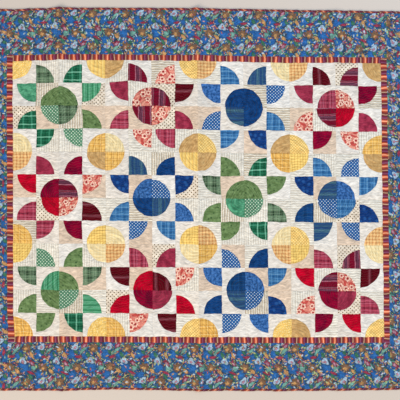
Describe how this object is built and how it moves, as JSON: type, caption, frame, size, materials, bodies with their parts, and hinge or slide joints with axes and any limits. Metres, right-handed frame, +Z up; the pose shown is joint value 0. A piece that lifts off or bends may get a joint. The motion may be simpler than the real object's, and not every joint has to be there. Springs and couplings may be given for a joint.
{
  "type": "patchwork quilt",
  "caption": "Patchwork quilt laid flat, with a quarter-circle flower field, a striped inner border, a printed outer border and a bias binding.",
  "frame": {"origin": "middle of the quilt, on the surface that it lies on", "axes": "+X along the long side, +Y across it towards the edge shown at the top, +Z up out of the patchwork"},
  "size_m": [2.1108, 1.688, 0.0157],
  "materials": {
    "patchwork_cottons": "matt quilting cottons: cream grounds with yellow, green, red and blue patches",
    "striped_cotton": "matt cotton with orange, red, maroon and purple stripes",
    "printed_cotton": "matt cotton with a busy small print on blue",
    "bias_binding": "matt striped cotton cut on the bias",
    "backing": "plain cream cotton"
  },
  "bodies": {
    "root": {"patchwork_field": "patchwork_cottons", "inner_border_left": "striped_cotton", "inner_border_right": "striped_cotton", "inner_border_bottom": "striped_cotton", "inner_border_top": "striped_cotton", "outer_border_left": "printed_cotton", "outer_border_right": "printed_cotton", "outer_border_bottom": "printed_cotton", "outer_border_top": "printed_cotton", "binding_left": "bias_binding", "binding_right": "bias_binding", "binding_bottom": "bias_binding", "binding_top": "bias_binding"}
  },
  "joints": []
}
